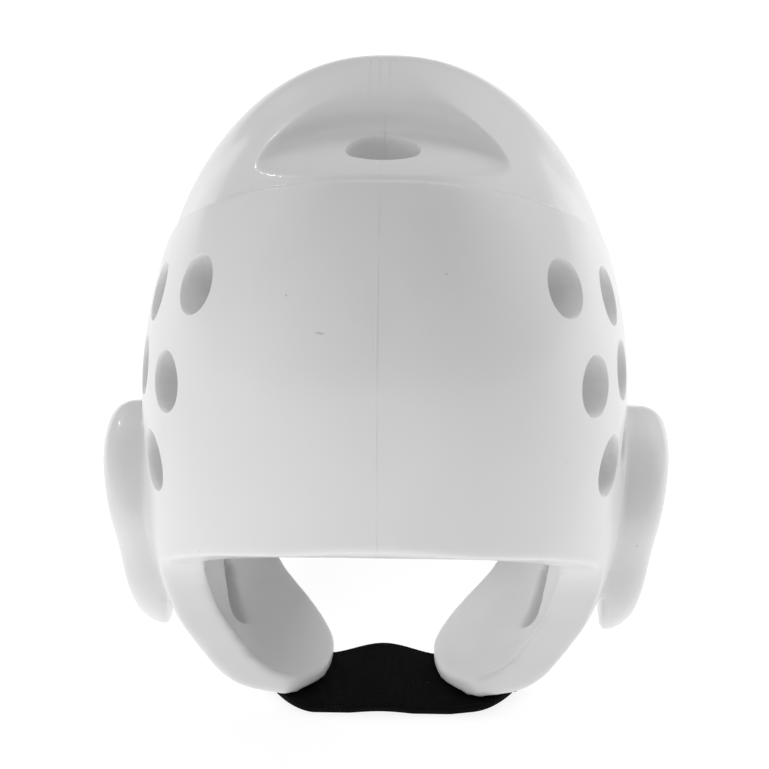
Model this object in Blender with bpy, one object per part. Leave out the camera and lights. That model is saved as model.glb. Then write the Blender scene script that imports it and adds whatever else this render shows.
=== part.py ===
"""Taekwondo headgear: a one-piece dipped-foam shell and a black elastic chin strap.

Metres, +Z up, the face opening towards -Y. The origin is on the floor, below the middle of the shell.
"""

from collections import namedtuple
from math import atan2, copysign, cos, pi, radians, sin, sqrt

import bmesh
import bpy
from mathutils import Matrix, Vector

# Shell: outer size and padding
SHELL_WIDTH = 0.203
SHELL_LENGTH = 0.250
SHELL_HEIGHT = 0.2575
DOME_BASE = 0.120
BILGE_HEIGHT = 0.030
CROWN_SET_BACK = 0.012
SIDE_WALL = 0.018
END_WALL = 0.022
CROWN_WALL = 0.035
FLOOR_WALL = 0.012
JAW_LIFT = 0.0042
BAND_STEP = 0.003
BAND_OVERLAP = 0.0011
BAND_EDGE_SIDE = 0.194
BAND_EDGE_SLOPE = 0.64

# Openings in the shell
BROW_HEIGHT = 0.1125
TEMPLE_HEIGHT = 0.068
JAW_FRONT = 0.060
NECK_FRONT = 0.075
NECK_REAR = 0.083
NECK_WIDTH = 0.104
VENT_DIAMETER = 0.025
CROWN_VENT_DIAMETER = 0.030
CROWN_VENT_CENTRE = 0.031
RECESS_WIDTH = 0.112
RECESS_LENGTH = 0.062
RECESS_DEPTH = 0.0175
RECESS_CENTRE = 0.042
RECESS_TILT = radians(3)
RECESS_BEND = 0.35
INNER_SLOT_WIDTH = 0.0055
INNER_SLOT_LENGTH = 0.042
INNER_SLOT_DEPTH = 0.007
INNER_SLOT_HEIGHT = 0.0225
INNER_SLOT_TURN = radians(-4)
INNER_SLOT_RISE = radians(18)

# Ear guards
EAR_HEIGHT = 0.088
EAR_DEPTH = 0.068
EAR_CENTRE_HEIGHT = 0.0575
EAR_CENTRE_Y = 0.003
EAR_PROUD = 0.0175
EAR_TILT = radians(11.5)
EAR_ROUNDING = 0.013
EAR_LEAN = 0.011

# Chin strap: its ends turn up into slits in the padding
STRAP_WIDTH = 0.044
STRAP_THICKNESS = 0.0025
STRAP_FRONT = 0.064
STRAP_SHIFT = 0.005
STRAP_REACH = 0.050
STRAP_TAB = 0.003
STRAP_STRAIGHT = 0.066
STRAP_HUMP = 0.0055
STRAP_FREE = 0.050
STRAP_SWEEP = 0.014
STRAP_GAP = 0.0009
SLIT_CLEARANCE = 0.0005

PLAN_SQUARENESS = 2.4
HULL_SEGMENTS = 60
CAVITY_SEGMENTS = 44
STRAP_STATIONS = 14
STRAP_ROWS = 5

# Heights are shares of the dome's base height, the others of half the width and the front and rear lengths.
Section = namedtuple("Section", "height width front rear")
HULL_SECTIONS = (
    Section(0.000, 0.500, 0.620, 0.760),
    Section(0.030, 0.700, 0.700, 0.830),
    Section(0.080, 0.785, 0.765, 0.880),
    Section(0.140, 0.830, 0.805, 0.905),
    Section(0.220, 0.882, 0.850, 0.940),
    Section(0.330, 0.938, 0.905, 0.965),
    Section(0.550, 0.995, 0.965, 0.990),
    Section(0.800, 1.000, 0.995, 1.000),
    Section(1.000, 1.000, 1.000, 1.000),
)

# Places along the neck opening from its front to its rear, and half widths as shares of its half width.
NeckRow = namedtuple("NeckRow", "along width")
NECK_ROWS = (
    NeckRow(0.000, 0.95),
    NeckRow(0.057, 0.90),
    NeckRow(0.095, 0.80),
    NeckRow(0.127, 0.66),
    NeckRow(0.165, 0.53),
    NeckRow(0.210, 0.445),
    NeckRow(0.266, 0.415),
    NeckRow(0.330, 0.41),
    NeckRow(0.400, 0.455),
    NeckRow(0.494, 0.56),
    NeckRow(0.600, 0.705),
    NeckRow(0.728, 0.905),
    NeckRow(0.823, 1.00),
    NeckRow(0.905, 0.94),
    NeckRow(0.962, 0.73),
    NeckRow(0.990, 0.42),
    NeckRow(1.000, 0.14),
)

# The recess before the hoop: reach as a share of half its width and length, height as a share of its depth.
RecessRow = namedtuple("RecessRow", "reach height")
RECESS_ROWS = (
    RecessRow(0.20, 0.00),
    RecessRow(0.50, 0.00),
    RecessRow(0.72, 0.03),
    RecessRow(0.87, 0.12),
    RecessRow(0.95, 0.28),
    RecessRow(1.00, 0.50),
    RecessRow(1.10, 0.68),
    RecessRow(1.30, 0.84),
    RecessRow(1.60, 0.97),
    RecessRow(2.00, 1.12),
)

# The face opening from the side: places behind the forehead as shares of the way to the jaw's front edge,
# and heights as shares of the way from the temple corner up to the brow, or down to the floor.
FaceRow = namedtuple("FaceRow", "back height")
BROW_ROWS = (
    FaceRow(-0.30, 1.06),
    FaceRow(0.00, 1.00),
    FaceRow(0.09, 0.86),
    FaceRow(0.40, 0.60),
    FaceRow(0.72, 0.30),
    FaceRow(0.93, 0.10),
)
JAW_ROWS = (
    FaceRow(1.01, -0.05),
    FaceRow(1.045, -0.16),
    FaceRow(1.06, -0.35),
    FaceRow(1.05, -0.60),
    FaceRow(1.02, -0.85),
    FaceRow(0.99, -1.20),
)

# Vent holes on the right side: degrees round from the front, and heights as shares of the shell's height.
Vent = namedtuple("Vent", "turn height")
VENTS = (
    Vent(44.5, 0.765),
    Vent(46.0, 0.612),
    Vent(50.5, 0.455),
    Vent(67.0, 0.685),
    Vent(65.0, 0.570),
    Vent(67.5, 0.430),
)

Hull = namedtuple("Hull", "half_width front rear bottom top squareness front_rise rear_rise")
OUTER = Hull(
    SHELL_WIDTH / 2,
    SHELL_LENGTH / 2 + CROWN_SET_BACK,
    SHELL_LENGTH / 2 - CROWN_SET_BACK,
    0.0,
    SHELL_HEIGHT,
    PLAN_SQUARENESS,
    2.8,
    2.1,
)
CAVITY = Hull(
    OUTER.half_width - SIDE_WALL,
    OUTER.front - END_WALL,
    OUTER.rear - END_WALL,
    FLOOR_WALL,
    SHELL_HEIGHT - CROWN_WALL,
    2.7,
    2.5,
    2.3,
)


def smooth_row(rows, place):
    """The row at a place between rows, on a smooth curve through them."""
    last = len(rows) - 1
    first = min(int(place), last - 1)
    t = place - first
    a, b, c, d = (rows[min(max(first + k, 0), last)] for k in (-1, 0, 1, 2))
    return tuple(
        q + 0.5 * t * (r - p + t * (2 * p - 5 * q + 4 * r - s + t * (3 * (q - r) + s - p)))
        for p, q, r, s in zip(a, b, c, d)
    )


def smooth_step(value):
    value = min(max(value, 0.0), 1.0)
    return value * value * (3 - 2 * value)


def power(value, exponent):
    return copysign(abs(value) ** exponent, value)


def hull_levels(hull, steps_per_row, dome_steps):
    """Horizontal sections of the hull from its bottom to its top, in metres."""
    levels = []
    for step in range(steps_per_row * (len(HULL_SECTIONS) - 1)):
        row = Section(*smooth_row(HULL_SECTIONS, step / steps_per_row))
        height = hull.bottom + row.height * (DOME_BASE - hull.bottom)
        lengths = (row.width * hull.half_width, row.front * hull.front, row.rear * hull.rear)
        levels.append(Section(height, *lengths))
    for step in range(dome_steps + 1):
        rise = sin(radians(88.5) * step / dome_steps)
        levels.append(
            Section(
                DOME_BASE + rise * (hull.top - DOME_BASE),
                sqrt(1 - rise**2) * hull.half_width,
                (1 - rise**hull.front_rise) ** (1 / hull.front_rise) * hull.front,
                (1 - rise**hull.rear_rise) ** (1 / hull.rear_rise) * hull.rear,
            )
        )
    return levels


def level_point(hull, level, turn):
    """A point on a section, turn radians round from +X."""
    length = level.rear if sin(turn) > 0 else level.front
    x = level.width * power(cos(turn), 2 / hull.squareness)
    y = CROWN_SET_BACK + length * power(sin(turn), 2 / hull.squareness)
    return Vector((x, y, level.height))


def jaw_lift(point):
    """How far the padding under the jaw stands off the floor, to make room for the strap."""
    forward = smooth_step((NECK_REAR / 2 - point.y) / (NECK_REAR / 2))
    return JAW_LIFT * forward * smooth_step(1 - point.z / DOME_BASE)


def band_share(point):
    """How much of the forehead band's step is left: all of it in front, none behind the ears."""
    return smooth_step((SHELL_LENGTH / 5 - point.y) / (SHELL_LENGTH / 5))


def outer_point(level, turn, inset):
    """A point on the shell's outside. inset says how far it is pushed in, from the share of the band."""
    point = level_point(OUTER, level, turn)
    middle = Vector((0, CROWN_SET_BACK, min(max(point.z, BILGE_HEIGHT), DOME_BASE)))
    point += (middle - point).normalized() * inset(band_share(point))
    point.z += jaw_lift(point)
    return point


def loft(rings):
    """A closed bmesh through rings of points, with a flat face at each end."""
    mesh = bmesh.new()
    loops = []
    for ring in rings:
        verts = [mesh.verts.new(point) for point in ring]
        loops.append([mesh.edges.new((verts[i - 1], verts[i])) for i in range(len(verts))])
    for lower, upper in zip(loops, loops[1:]):
        bmesh.ops.bridge_loops(mesh, edges=lower + upper)
    for end in (loops[0], loops[-1]):
        bmesh.ops.edgeloop_fill(mesh, edges=end)
    bmesh.ops.recalc_face_normals(mesh, faces=mesh.faces)
    return mesh


def turns(count):
    return [2 * pi * step / count for step in range(count)]


def new_object(name, mesh_data, material=None):
    bmesh.ops.triangulate(mesh_data, faces=[face for face in mesh_data.faces if len(face.verts) > 4])
    mesh = bpy.data.meshes.new(name)
    mesh_data.to_mesh(mesh)
    mesh_data.free()
    piece = bpy.data.objects.new(name, mesh)
    bpy.context.scene.collection.objects.link(piece)
    if material:
        mesh.materials.append(material)
        mesh.shade_smooth()
        mesh.set_sharp_from_angle(angle=radians(35))
    return piece


def cutter(name, mesh_data):
    helper = new_object(name, mesh_data)
    helper.hide_render = True
    helper.display_type = "WIRE"
    return helper


def combine(piece, helper, operation="DIFFERENCE"):
    step = piece.modifiers.new(helper.name, "BOOLEAN")
    step.operation = operation
    step.solver = "EXACT"
    step.object = helper


def hull_mesh(inset, floor_rise):
    """The outer form, set in by inset, with its underside floor_rise higher inside its lower rim."""
    levels = hull_levels(OUTER, 2, 13)
    lowest = levels[0]
    for share in (0.8, 0.6, 0.4, 0.2):
        levels.insert(0, Section(lowest.height + floor_rise, *(share * length for length in lowest[1:])))
    return loft([[outer_point(level, turn, inset) for turn in turns(HULL_SEGMENTS)] for level in levels])


def crown_mesh():
    """The whole outer form, set in by the band's step in front."""
    return hull_mesh(lambda share: BAND_STEP * share, 0)


def band_mesh():
    """The forehead band: the outer form up to a tilted plane, sunk into the crown at the back and below."""
    mesh = hull_mesh(lambda share: BAND_OVERLAP * max(1 - 2 * share, 0), BAND_STEP)
    everything = list(mesh.verts) + list(mesh.edges) + list(mesh.faces)
    cut = bmesh.ops.bisect_plane(
        mesh,
        geom=everything,
        plane_co=(0, 0, BAND_EDGE_SIDE),
        plane_no=(0, BAND_EDGE_SLOPE, 1),
        clear_outer=True,
    )
    edges = [item for item in cut["geom_cut"] if isinstance(item, bmesh.types.BMEdge)]
    bmesh.ops.edgeloop_fill(mesh, edges=edges)
    bmesh.ops.recalc_face_normals(mesh, faces=mesh.faces)
    return mesh


def cavity_mesh():
    levels = hull_levels(CAVITY, 1, 10)
    return loft([[level_point(CAVITY, level, turn) for turn in turns(CAVITY_SEGMENTS)] for level in levels])


def extruded(outline, low, high):
    """A prism: outline is a list of points in the plane, low and high turn each into the two end points."""
    return loft([[low(*place) for place in outline], [high(*place) for place in outline]])


def face_opening_mesh():
    """What lies before the jaw guards and below the brow, seen from the side and run across the width."""
    front = -SHELL_LENGTH / 2
    way = SHELL_LENGTH / 2 - JAW_FRONT
    rise = BROW_HEIGHT - TEMPLE_HEIGHT
    outline = [(front + row.back * way, TEMPLE_HEIGHT + row.height * rise) for row in BROW_ROWS]
    outline += [(front + row.back * way, TEMPLE_HEIGHT * (1 + row.height)) for row in JAW_ROWS]
    outline.append((outline[0][0], outline[-1][1]))
    side = SHELL_WIDTH
    return extruded(outline, lambda y, z: Vector((-side, y, z)), lambda y, z: Vector((side, y, z)))


def neck_outline(steps_per_row):
    right = []
    for step in range(steps_per_row * (len(NECK_ROWS) - 1) + 1):
        row = NeckRow(*smooth_row(NECK_ROWS, step / steps_per_row))
        right.append((row.width * NECK_WIDTH / 2, -NECK_FRONT + row.along * (NECK_FRONT + NECK_REAR)))
    return right + [(-x, y) for x, y in reversed(right)]


def neck_opening_mesh():
    low, high = -FLOOR_WALL, 3 * FLOOR_WALL
    return extruded(neck_outline(2), lambda x, y: Vector((x, y, low)), lambda x, y: Vector((x, y, high)))


def crown_drop(x):
    """How far the crown falls from its middle to a place across it."""
    share = min(abs(x) / OUTER.half_width, 0.95)
    return (SHELL_HEIGHT - DOME_BASE) * (1 - sqrt(1 - share**2))


def recess_mesh():
    """A flat-bottomed bowl with flared sides, slightly bent across, between the band and the hoop."""
    rings = []
    for row in RECESS_ROWS:
        ring = []
        for turn in turns(32):
            x = row.reach * cos(turn) * RECESS_WIDTH / 2
            y = row.reach * sin(turn) * RECESS_LENGTH / 2
            fall = RECESS_DEPTH * (1 - row.height) + RECESS_BEND * crown_drop(x) + sin(RECESS_TILT) * y
            ring.append(Vector((x, y - RECESS_CENTRE, SHELL_HEIGHT - fall)))
        rings.append(ring)
    rings.append([Vector((point.x, point.y, SHELL_HEIGHT + RECESS_DEPTH)) for point in rings[-1]])
    return loft(rings)


def wall_place(hull, turn, height):
    """The place on a hull's side at a height, and the way out of the wall there."""
    levels = hull_levels(hull, 8, 60)
    places = []
    for level_height in (height - 0.002, height + 0.002):
        level = min(levels, key=lambda row: abs(row.height - level_height))
        places.append([level_point(hull, level, turn + step) for step in (-0.02, 0.02)])
    middle = sum((point for pair in places for point in pair), Vector()) / 4
    along = places[0][1] - places[0][0]
    up = places[1][0] - places[0][0]
    return middle, along.cross(up).normalized()


def plan_turn(hull, degrees):
    """The section's own angle for a direction seen from above, in degrees round from the front."""
    across = sin(radians(degrees)) / hull.half_width
    forward = cos(radians(degrees)) / hull.front
    bend = hull.squareness / 2
    return atan2(-(forward**bend), across**bend)


def vent_mesh(vent, side):
    place, out = wall_place(OUTER, plan_turn(OUTER, vent.turn), vent.height * SHELL_HEIGHT)
    place.x *= side
    out.x *= side
    mesh = bmesh.new()
    bmesh.ops.create_cone(
        mesh,
        cap_ends=True,
        segments=16,
        radius1=VENT_DIAMETER / 2,
        radius2=VENT_DIAMETER / 2,
        depth=3 * END_WALL,
        matrix=Matrix.Translation(place) @ out.to_track_quat("Z", "Y").to_matrix().to_4x4(),
    )
    return mesh


def crown_vent_mesh():
    mesh = bmesh.new()
    bmesh.ops.create_cone(
        mesh,
        cap_ends=True,
        segments=20,
        radius1=CROWN_VENT_DIAMETER / 2,
        radius2=CROWN_VENT_DIAMETER / 2,
        depth=2 * CROWN_WALL,
        matrix=Matrix.Translation((0, -CROWN_VENT_CENTRE, SHELL_HEIGHT - CROWN_WALL)),
    )
    return mesh


def ear_outline(turn, inset):
    """The ear guard's outline from the side: y and z, waisted in the middle and leaning forward below."""
    rise = power(sin(turn), 2 / 2.5)
    waist = 1 - 0.10 * smooth_step(1 - abs(rise + 0.12) / 0.55)
    depth = (EAR_DEPTH / 2) * (1 + 0.20 * rise) * waist - inset
    y = EAR_CENTRE_Y + depth * power(cos(turn), 2 / 2.5) + EAR_LEAN * rise
    return y, EAR_CENTRE_HEIGHT + (EAR_HEIGHT / 2 - inset) * rise


def ear_guard_mesh(side):
    """A rounded pad that stands out from the side wall, thicker at its top."""
    face = OUTER.half_width + EAR_PROUD
    rings = []
    layers = [(0.0, OUTER.half_width - SIDE_WALL / 2)]
    for step in range(5):
        bend = radians(80) * step / 4
        layers.append((EAR_ROUNDING * (1 - cos(bend)), face - EAR_ROUNDING * (1 - sin(bend))))
    layers.append((EAR_ROUNDING * 1.6, face + EAR_ROUNDING * 0.06))
    for number, (inset, reach) in enumerate(layers):
        ring = []
        for turn in turns(28):
            y, z = ear_outline(turn, inset)
            lean = sin(EAR_TILT) * (z - EAR_CENTRE_HEIGHT - EAR_HEIGHT / 4) if number else 0
            ring.append(Vector((side * (reach + lean), y, z)))
        rings.append(ring)
    return loft(rings)


def inner_slot_mesh(side):
    """A narrow pocket in the inner wall above each jaw guard, rising towards the back."""
    place, out = wall_place(CAVITY, INNER_SLOT_TURN, INNER_SLOT_HEIGHT)
    place.x *= side
    out.x *= side
    level = out.cross(Vector((0, 0, 1))).normalized() * -side
    along = Matrix.Rotation(side * INNER_SLOT_RISE, 3, out) @ level
    frame = Matrix((along, out.cross(along), out)).transposed().to_4x4()
    mesh = bmesh.new()
    bmesh.ops.create_cube(mesh, size=1)
    bmesh.ops.scale(mesh, verts=mesh.verts, vec=(INNER_SLOT_LENGTH, INNER_SLOT_WIDTH, 2 * INNER_SLOT_DEPTH))
    bmesh.ops.transform(mesh, matrix=Matrix.Translation(place) @ frame, verts=mesh.verts)
    return mesh


def under_height(x, y):
    """The height of the padding's underside at a place in plan."""
    low, high = 0.0, float(len(HULL_SECTIONS) - 1)
    for _ in range(24):
        middle = (low + high) / 2
        row = Section(*smooth_row(HULL_SECTIONS, middle))
        length = row.rear * OUTER.rear if y > CROWN_SET_BACK else row.front * OUTER.front
        across = abs(x / (row.width * OUTER.half_width)) ** PLAN_SQUARENESS
        if across + abs((y - CROWN_SET_BACK) / length) ** PLAN_SQUARENESS > 1:
            low = middle
        else:
            high = middle
    height = Section(*smooth_row(HULL_SECTIONS, high)).height * DOME_BASE
    return height + jaw_lift(Vector((x, y, height)))


def strap_y(x, back):
    """Where the strap lies front to back, at a share of its width: it turns back under the jaw guards."""
    outward = max(0.0, (abs(x - STRAP_SHIFT) - STRAP_STRAIGHT / 2) / (STRAP_REACH - STRAP_STRAIGHT / 2))
    return STRAP_SWEEP * outward**2 + STRAP_WIDTH * back - STRAP_FRONT


def strap_height(x, y):
    """The height of the middle of the strap's thickness: humped in the middle, then against the padding."""
    back = (y - strap_y(x, 0)) / STRAP_WIDTH
    lying = STRAP_THICKNESS * (0.5 + 0.2 * back)
    hump = STRAP_HUMP * (0.3 + 0.7 * back) * smooth_step(1 - 2 * abs(x) / STRAP_FREE)
    step = STRAP_THICKNESS / 2
    under = under_height(abs(x), y)
    slope = (under_height(abs(x) + step, y) - under) / step, (under_height(abs(x), y + step) - under) / step
    gap = (STRAP_THICKNESS / 2 + STRAP_GAP) * sqrt(1 + slope[0] ** 2 + slope[1] ** 2)
    return max(lying + hump, under - gap)


def strap_place(x, y):
    """The middle of the strap's thickness at a place in plan, and the way up out of its face."""
    step = STRAP_THICKNESS / 2
    place = Vector((x, y, strap_height(x, y)))
    along = Vector((x + step, y, strap_height(x + step, y))) - place
    back = Vector((x, y + step, strap_height(x, y + step))) - place
    return place, along.cross(back).normalized()


def strap_end(side, bend, rise):
    """Places across one strap end, turned up by an angle and run on upwards, each with its way out."""
    x = STRAP_SHIFT + side * STRAP_REACH
    turned = Vector((side * STRAP_THICKNESS * sin(bend), 0, STRAP_THICKNESS * (1 - cos(bend)) + rise))
    across = []
    for row in range(STRAP_ROWS + 1):
        y = strap_y(x, row / STRAP_ROWS)
        lying = Vector((x, y, strap_height(x, y)))
        across.append((lying + turned, Vector((-side * sin(bend), 0, cos(bend)))))
    return across


def strap_mesh():
    stations = []
    for step in range(1 - STRAP_STATIONS, STRAP_STATIONS):
        x = STRAP_SHIFT + STRAP_REACH * step / STRAP_STATIONS
        stations.append([strap_place(x, strap_y(x, row / STRAP_ROWS)) for row in range(STRAP_ROWS + 1)])
    for bend, rise in ((0, 0), (pi / 6, 0), (pi / 3, 0), (pi / 2, 0), (pi / 2, STRAP_TAB)):
        stations.insert(0, strap_end(-1, bend, rise))
        stations.append(strap_end(1, bend, rise))
    rings = []
    for across in stations:
        upper = [place + out * STRAP_THICKNESS / 2 for place, out in across]
        lower = [place - out * STRAP_THICKNESS / 2 for place, out in reversed(across)]
        rings.append(upper + lower)
    return loft(rings)


def slit_mesh(side):
    """The slit that a strap end fills, open below."""
    across = [place for place, out in strap_end(side, pi / 2, STRAP_TAB + SLIT_CLEARANCE)]
    reach = Vector((STRAP_THICKNESS / 2 + SLIT_CLEARANCE, SLIT_CLEARANCE, 0))
    low = Vector((across[0].x, across[0].y, -FLOOR_WALL)) - reach
    high = Vector((across[-1].x, across[-1].y, max(place.z for place in across))) + reach
    mesh = bmesh.new()
    bmesh.ops.create_cube(mesh, size=1)
    bmesh.ops.scale(mesh, verts=mesh.verts, vec=high - low)
    bmesh.ops.translate(mesh, verts=mesh.verts, vec=(low + high) / 2)
    return mesh


def make_shell(material):
    shell = new_object("shell", crown_mesh(), material)
    combine(shell, cutter("forehead_band", band_mesh()), "UNION")
    for side, name in ((1, "right"), (-1, "left")):
        combine(shell, cutter(f"ear_guard_{name}", ear_guard_mesh(side)), "UNION")
    combine(shell, cutter("cavity", cavity_mesh()))
    combine(shell, cutter("neck_opening", neck_opening_mesh()))
    combine(shell, cutter("face_opening", face_opening_mesh()))
    combine(shell, cutter("recess", recess_mesh()))
    combine(shell, cutter("crown_vent", crown_vent_mesh()))
    for number, vent in enumerate(VENTS):
        for side, name in ((1, "right"), (-1, "left")):
            combine(shell, cutter(f"vent_{name}_{number + 1}", vent_mesh(vent, side)))
    for side, name in ((1, "right"), (-1, "left")):
        combine(shell, cutter(f"inner_slot_{name}", inner_slot_mesh(side)))
        combine(shell, cutter(f"strap_slit_{name}", slit_mesh(side)))
    return shell


def make_strap(material):
    return new_object("chin_strap", strap_mesh(), material)


def make_material(name, colour, roughness, coat):
    material = bpy.data.materials.new(name)
    material.use_nodes = True
    finish = material.node_tree.nodes["Principled BSDF"].inputs
    finish["Base Color"].default_value = (*colour, 1)
    finish["Roughness"].default_value = roughness
    finish["Coat Weight"].default_value = coat
    return material


def main():
    for thing in list(bpy.data.objects):
        bpy.data.objects.remove(thing)
    vinyl = make_material("white_vinyl", (0.80, 0.80, 0.80), 0.30, 0.4)
    elastic = make_material("black_elastic", (0.012, 0.012, 0.013), 0.85, 0.0)
    make_shell(vinyl)
    make_strap(elastic)


main()
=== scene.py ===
"""Looks of the taekwondo headgear: glossy white vinyl over moulded foam, and a black elastic chin strap.

Metres, +Z up, the face opening towards -Y. The origin is on the floor, below the middle of the shell.
"""

from collections import namedtuple
from math import atan2, copysign, cos, pi, radians, sin, sqrt

import bmesh
import bpy
from mathutils import Matrix, Vector


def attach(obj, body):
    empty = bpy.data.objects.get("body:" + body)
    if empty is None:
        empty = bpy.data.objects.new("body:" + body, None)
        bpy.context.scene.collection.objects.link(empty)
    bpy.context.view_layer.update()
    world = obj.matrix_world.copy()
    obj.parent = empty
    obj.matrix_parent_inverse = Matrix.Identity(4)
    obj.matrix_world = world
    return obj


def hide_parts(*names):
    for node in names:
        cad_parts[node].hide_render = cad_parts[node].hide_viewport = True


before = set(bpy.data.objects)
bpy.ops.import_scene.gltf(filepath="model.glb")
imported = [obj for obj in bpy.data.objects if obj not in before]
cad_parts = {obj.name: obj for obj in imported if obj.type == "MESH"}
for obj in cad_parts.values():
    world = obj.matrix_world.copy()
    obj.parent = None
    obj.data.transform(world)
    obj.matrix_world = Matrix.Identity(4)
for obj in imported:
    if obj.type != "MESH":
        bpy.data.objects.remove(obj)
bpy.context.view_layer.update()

# Shell: outer size and padding. The set back is that of the crown's widest section from the origin.
SHELL_WIDTH = 0.203
SHELL_LENGTH = 0.250
SHELL_HEIGHT = 0.2575
DOME_BASE = 0.120
BILGE_HEIGHT = 0.030
CROWN_SET_BACK = 0.012
SIDE_WALL = 0.018
END_WALL = 0.022
CROWN_WALL = 0.035
FLOOR_WALL = 0.012
JAW_LIFT = 0.0042
BAND_STEP = 0.003
BAND_OVERLAP = 0.0011
BAND_EDGE_SIDE = 0.194
BAND_EDGE_SLOPE = 0.64

# Openings in the shell
BROW_HEIGHT = 0.1125
TEMPLE_HEIGHT = 0.068
JAW_FRONT = 0.060
NECK_FRONT = 0.075
NECK_REAR = 0.083
NECK_WIDTH = 0.104
VENT_DIAMETER = 0.025
VENT_FLATNESS = 0.90
VENT_REACH_IN = 1.25 * END_WALL
VENT_REACH_OUT = SIDE_WALL / 2
CROWN_VENT_DIAMETER = 0.028
CROWN_VENT_CENTRE = 0.0325
CROWN_VENT_REACH_OUT = CROWN_WALL / 18
RECESS_WIDTH = 0.112
RECESS_LENGTH = 0.062
RECESS_DEPTH = 0.0175
RECESS_CENTRE = 0.042
RECESS_TILT = radians(4)
RECESS_BEND_MIDDLE = 0.30
RECESS_BEND_SIDE = 0.55
RECESS_FRONT_STRETCH = 1.30
RECESS_FRONT_ROUNDNESS = 0.40
INNER_SLOT_WIDTH = 0.0085
INNER_SLOT_LENGTH = 0.040
INNER_SLOT_DEPTH = 0.009
INNER_SLOT_HEIGHT = 0.0225
INNER_SLOT_TURN = radians(-4)
INNER_SLOT_RISE = radians(18)

# Ear guards: lengths, then shares of the outline's depth and half height, and of the rounding
EAR_HEIGHT = 0.088
EAR_DEPTH = 0.068
EAR_CENTRE_HEIGHT = 0.0575
EAR_CENTRE_Y = 0.003
EAR_PROUD = 0.0175
EAR_TILT = radians(11.5)
EAR_ROUNDING = 0.013
EAR_LEAN = 0.011
EAR_SQUARENESS = 2.5
EAR_WIDENING = 0.20
EAR_WAIST = 0.10
EAR_WAIST_PLACE = -0.12
EAR_WAIST_REACH = 0.55
EAR_EDGE_TURN = radians(80)
EAR_CROWN_INSET = 1.6
EAR_CROWN_RISE = 0.06

# Chin strap: its ends turn up into slits in the padding. The lift of its rear edge and the rounding of its
# edges are shares of its thickness, and the hump at its front edge is a share of the one at its rear edge.
STRAP_WIDTH = 0.044
STRAP_THICKNESS = 0.0025
STRAP_FRONT = 0.064
STRAP_SHIFT = 0.005
STRAP_REACH = 0.050
STRAP_TAB = 0.003
STRAP_STRAIGHT = 0.066
STRAP_HUMP = 0.0055
STRAP_FREE = 0.050
STRAP_SWEEP = 0.014
STRAP_GAP = 0.0009
STRAP_BACK_LIFT = 0.2
STRAP_HUMP_FRONT = 0.3
STRAP_EDGE_ROUNDING = 0.32
SLIT_CLEARANCE = 0.0005

# Mould lines, a scuff and the strap's weave. A pair says where a fade starts and where it ends.
SEAM_WIDTH = 0.0007
SEAM_RELIEF = 0.00016
HOOP_SEAMS = (-0.0065, -0.0025, 0.0015)
HOOP_SEAM_FOOT = (0.215, 0.235)
HOOP_SEAM_FRONT = (-0.01, 0.00)
FOREHEAD_SEAM_BACK = (0.00, -0.02)
Scuff = namedtuple("Scuff", "x z half_length half_width")
SCUFF = Scuff(-0.0208, 0.1965, 0.0024, 0.0006)
SCUFF_BACK = (-0.05, -0.08)
WAVE_RELIEF = 0.0007
PEEL_RELIEF = 0.00003
RIB_SPACING = 0.0014
RIB_RELIEF = 0.00008
WEAVE_SPACING = 0.0010
WEAVE_RELIEF = 0.00004
FUZZ_RELIEF = 0.00006

# Colours
CLEAN_WHITE = (0.86, 0.86, 0.86)
MARKED_WHITE = (0.46, 0.46, 0.455)
STRAP_BLACK = (0.003, 0.003, 0.0033)
LINT_GREY = (0.25, 0.25, 0.25)

# How many steps the forms are made in
HULL_SEGMENTS = 180
HULL_STEPS = 8
HULL_FLOOR_SHARES = (0.8, 0.6, 0.4, 0.2)
DOME_STEPS = 44
DOME_END_TURN = radians(88.5)
CAVITY_SEGMENTS = 140
NECK_STEPS = 6
RECESS_STEPS = 3
RECESS_SEGMENTS = 96
BORE_SEGMENTS = 96
EAR_STEPS = 10
EAR_SEGMENTS = 84
STRAP_STATIONS = 56
STRAP_ROWS = 22
STRAP_END_BENDS = 9

# A wall's place and direction are read from points this far apart, on finer sections
PROBE_RISE = 0.002
PROBE_TURN = 0.02
PROBE_DOME_STEPS = 60

# How fine the skin is made, and how far its edges are rounded. The recess is firm within a share of its size.
SKIN_GRAIN = 0.0011
SKIN_TRIANGLES = 188000
SHARP_ANGLE = radians(40)
ROUNDING_PASSES = 30
RIM_FIRMNESS = 0.78
RIM_REACH = 0.0055
RECESS_FIRMNESS = 0.60
RECESS_FIRM_SHARE = 0.55
RECESS_FIRM_FADE = 0.15

# Heights are shares of the dome's base height, the others of half the width and the front and rear lengths
Section = namedtuple("Section", "height width front rear")
HULL_SECTIONS = (
    Section(0.000, 0.500, 0.620, 0.760),
    Section(0.030, 0.700, 0.700, 0.830),
    Section(0.080, 0.785, 0.765, 0.880),
    Section(0.140, 0.830, 0.805, 0.905),
    Section(0.220, 0.882, 0.850, 0.940),
    Section(0.330, 0.938, 0.905, 0.965),
    Section(0.550, 0.995, 0.965, 0.990),
    Section(0.800, 1.000, 0.995, 1.000),
    Section(1.000, 1.000, 1.000, 1.000),
)

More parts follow.
